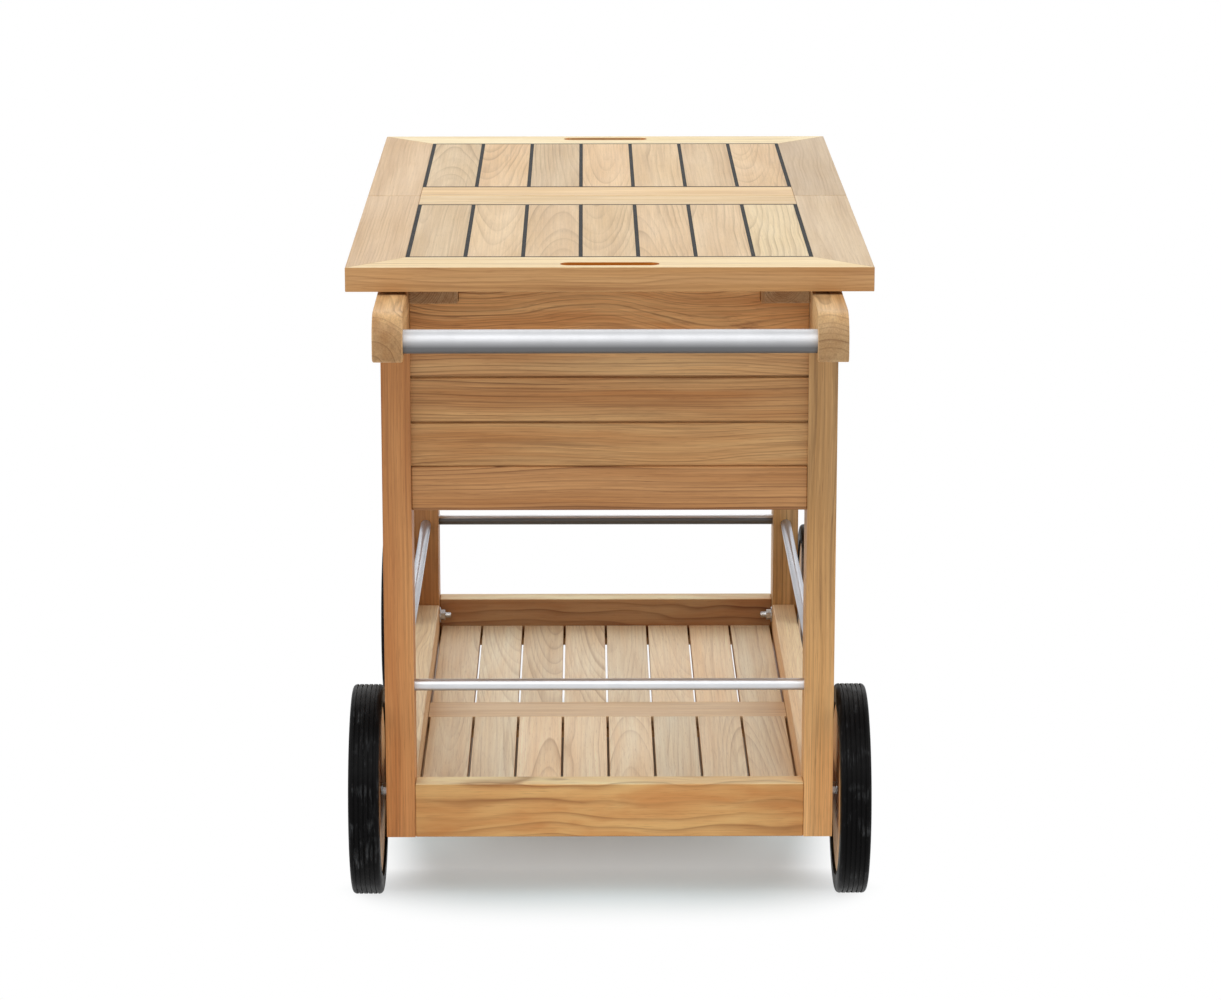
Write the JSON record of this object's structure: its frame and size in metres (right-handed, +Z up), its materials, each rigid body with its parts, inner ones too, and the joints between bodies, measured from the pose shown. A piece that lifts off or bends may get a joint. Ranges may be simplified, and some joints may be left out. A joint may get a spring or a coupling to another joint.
{
  "type": "ice bucket bar cart",
  "caption": "Teak bar cart with a slatted top that slides apart over an ice tub, a slatted shelf with guard tubes, a push handle and four rubber-tyred wooden wheels.",
  "frame": {"origin": "on the floor, under the middle of the whole cart's box, push handle included", "axes": "+Z up, +Y along the cart away from the push handle, +X to the right seen from the handle"},
  "size_m": [0.6214, 1.136, 0.777],
  "materials": {
    "frame_teak": "oiled satin",
    "arm_teak": "oiled satin",
    "handle_steel": "satin",
    "board_teak": "oiled satin",
    "box_rail_teak": "oiled satin",
    "inner_teak": "sanded matt",
    "tub_steel": "satin",
    "guard_steel": "satin",
    "shelf_rail_teak": "oiled satin",
    "shelf_slat_teak": "sanded matt",
    "fixing_steel": "bright zinc",
    "disc_teak": "sanded matt",
    "tyre_rubber": "matt",
    "top_frame_teak": "sanded matt",
    "top_slat_teak": "sanded matt",
    "caulk_black": "matt",
    "runner_teak": "sanded matt"
  },
  "bodies": {
    "cart": {"leg_handle_left": "frame_teak", "leg_handle_right": "frame_teak", "leg_far_left": "frame_teak", "leg_far_right": "frame_teak", "arm_left": "arm_teak", "arm_right": "arm_teak", "handle_tube": "handle_steel", "end_boards_handle": "board_teak", "end_boards_far": "board_teak", "side_boards_left": "board_teak", "side_boards_right": "board_teak", "end_rail_handle": "box_rail_teak", "end_rail_far": "box_rail_teak", "side_rail_left": "box_rail_teak", "side_rail_right": "box_rail_teak", "box_floor": "inner_teak", "floor_ledges": "inner_teak", "deck_planks": "inner_teak", "deck_cleats": "inner_teak", "shelf_ledges": "inner_teak", "ice_tub": "tub_steel", "guard_tube_handle": "guard_steel", "guard_tube_far": "guard_steel", "guard_tube_left": "guard_steel", "guard_tube_right": "guard_steel", "shelf_rail_handle": "shelf_rail_teak", "shelf_rail_far": "shelf_rail_teak", "shelf_rail_left": "shelf_rail_teak", "shelf_rail_right": "shelf_rail_teak", "shelf_cross_rail": "shelf_slat_teak", "shelf_slats_handle": "shelf_slat_teak", "shelf_slats_far": "shelf_slat_teak", "wheel_bolts": "fixing_steel", "wheel_nuts": "fixing_steel", "wheel_washers": "fixing_steel"},
    "leaf_handle": {"leaf_handle_stiles": "top_frame_teak", "leaf_handle_outer_rail": "top_frame_teak", "leaf_handle_inner_rail": "top_frame_teak", "leaf_handle_slats": "top_slat_teak", "leaf_handle_caulk": "caulk_black", "leaf_handle_runners": "runner_teak"},
    "leaf_far": {"leaf_far_stiles": "top_frame_teak", "leaf_far_outer_rail": "top_frame_teak", "leaf_far_inner_rail": "top_frame_teak", "leaf_far_slats": "top_slat_teak", "leaf_far_caulk": "caulk_black", "leaf_far_runners": "runner_teak"},
    "wheel_handle_left": {"wheel_disc_handle_left": "disc_teak", "wheel_tyre_handle_left": "tyre_rubber", "wheel_bush_handle_left": "fixing_steel"},
    "wheel_handle_right": {"wheel_disc_handle_right": "disc_teak", "wheel_tyre_handle_right": "tyre_rubber", "wheel_bush_handle_right": "fixing_steel"},
    "wheel_far_left": {"wheel_disc_far_left": "disc_teak", "wheel_tyre_far_left": "tyre_rubber", "wheel_bush_far_left": "fixing_steel"},
    "wheel_far_right": {"wheel_disc_far_right": "disc_teak", "wheel_tyre_far_right": "tyre_rubber", "wheel_bush_far_right": "fixing_steel"}
  },
  "joints": [
    {"name": "leaf_handle_slide", "type": "slide", "parent": "cart", "child": "leaf_handle", "axis": [0, -1, 0], "range_m": [0, 0.2]},
    {"name": "leaf_far_slide", "type": "slide", "parent": "cart", "child": "leaf_far", "axis": [0, 1, 0], "range_m": [0, 0.2]},
    {"name": "wheel_handle_left_spin", "type": "hinge", "parent": "cart", "child": "wheel_handle_left", "pos_m": [-0.2875, -0.342, 0.125], "axis": [1, 0, 0], "continuous": true},
    {"name": "wheel_handle_right_spin", "type": "hinge", "parent": "cart", "child": "wheel_handle_right", "pos_m": [0.2875, -0.342, 0.125], "axis": [1, 0, 0], "continuous": true},
    {"name": "wheel_far_left_spin", "type": "hinge", "parent": "cart", "child": "wheel_far_left", "pos_m": [-0.2875, 0.443, 0.125], "axis": [1, 0, 0], "continuous": true},
    {"name": "wheel_far_right_spin", "type": "hinge", "parent": "cart", "child": "wheel_far_right", "pos_m": [0.2875, 0.443, 0.125], "axis": [1, 0, 0], "continuous": true}
  ]
}
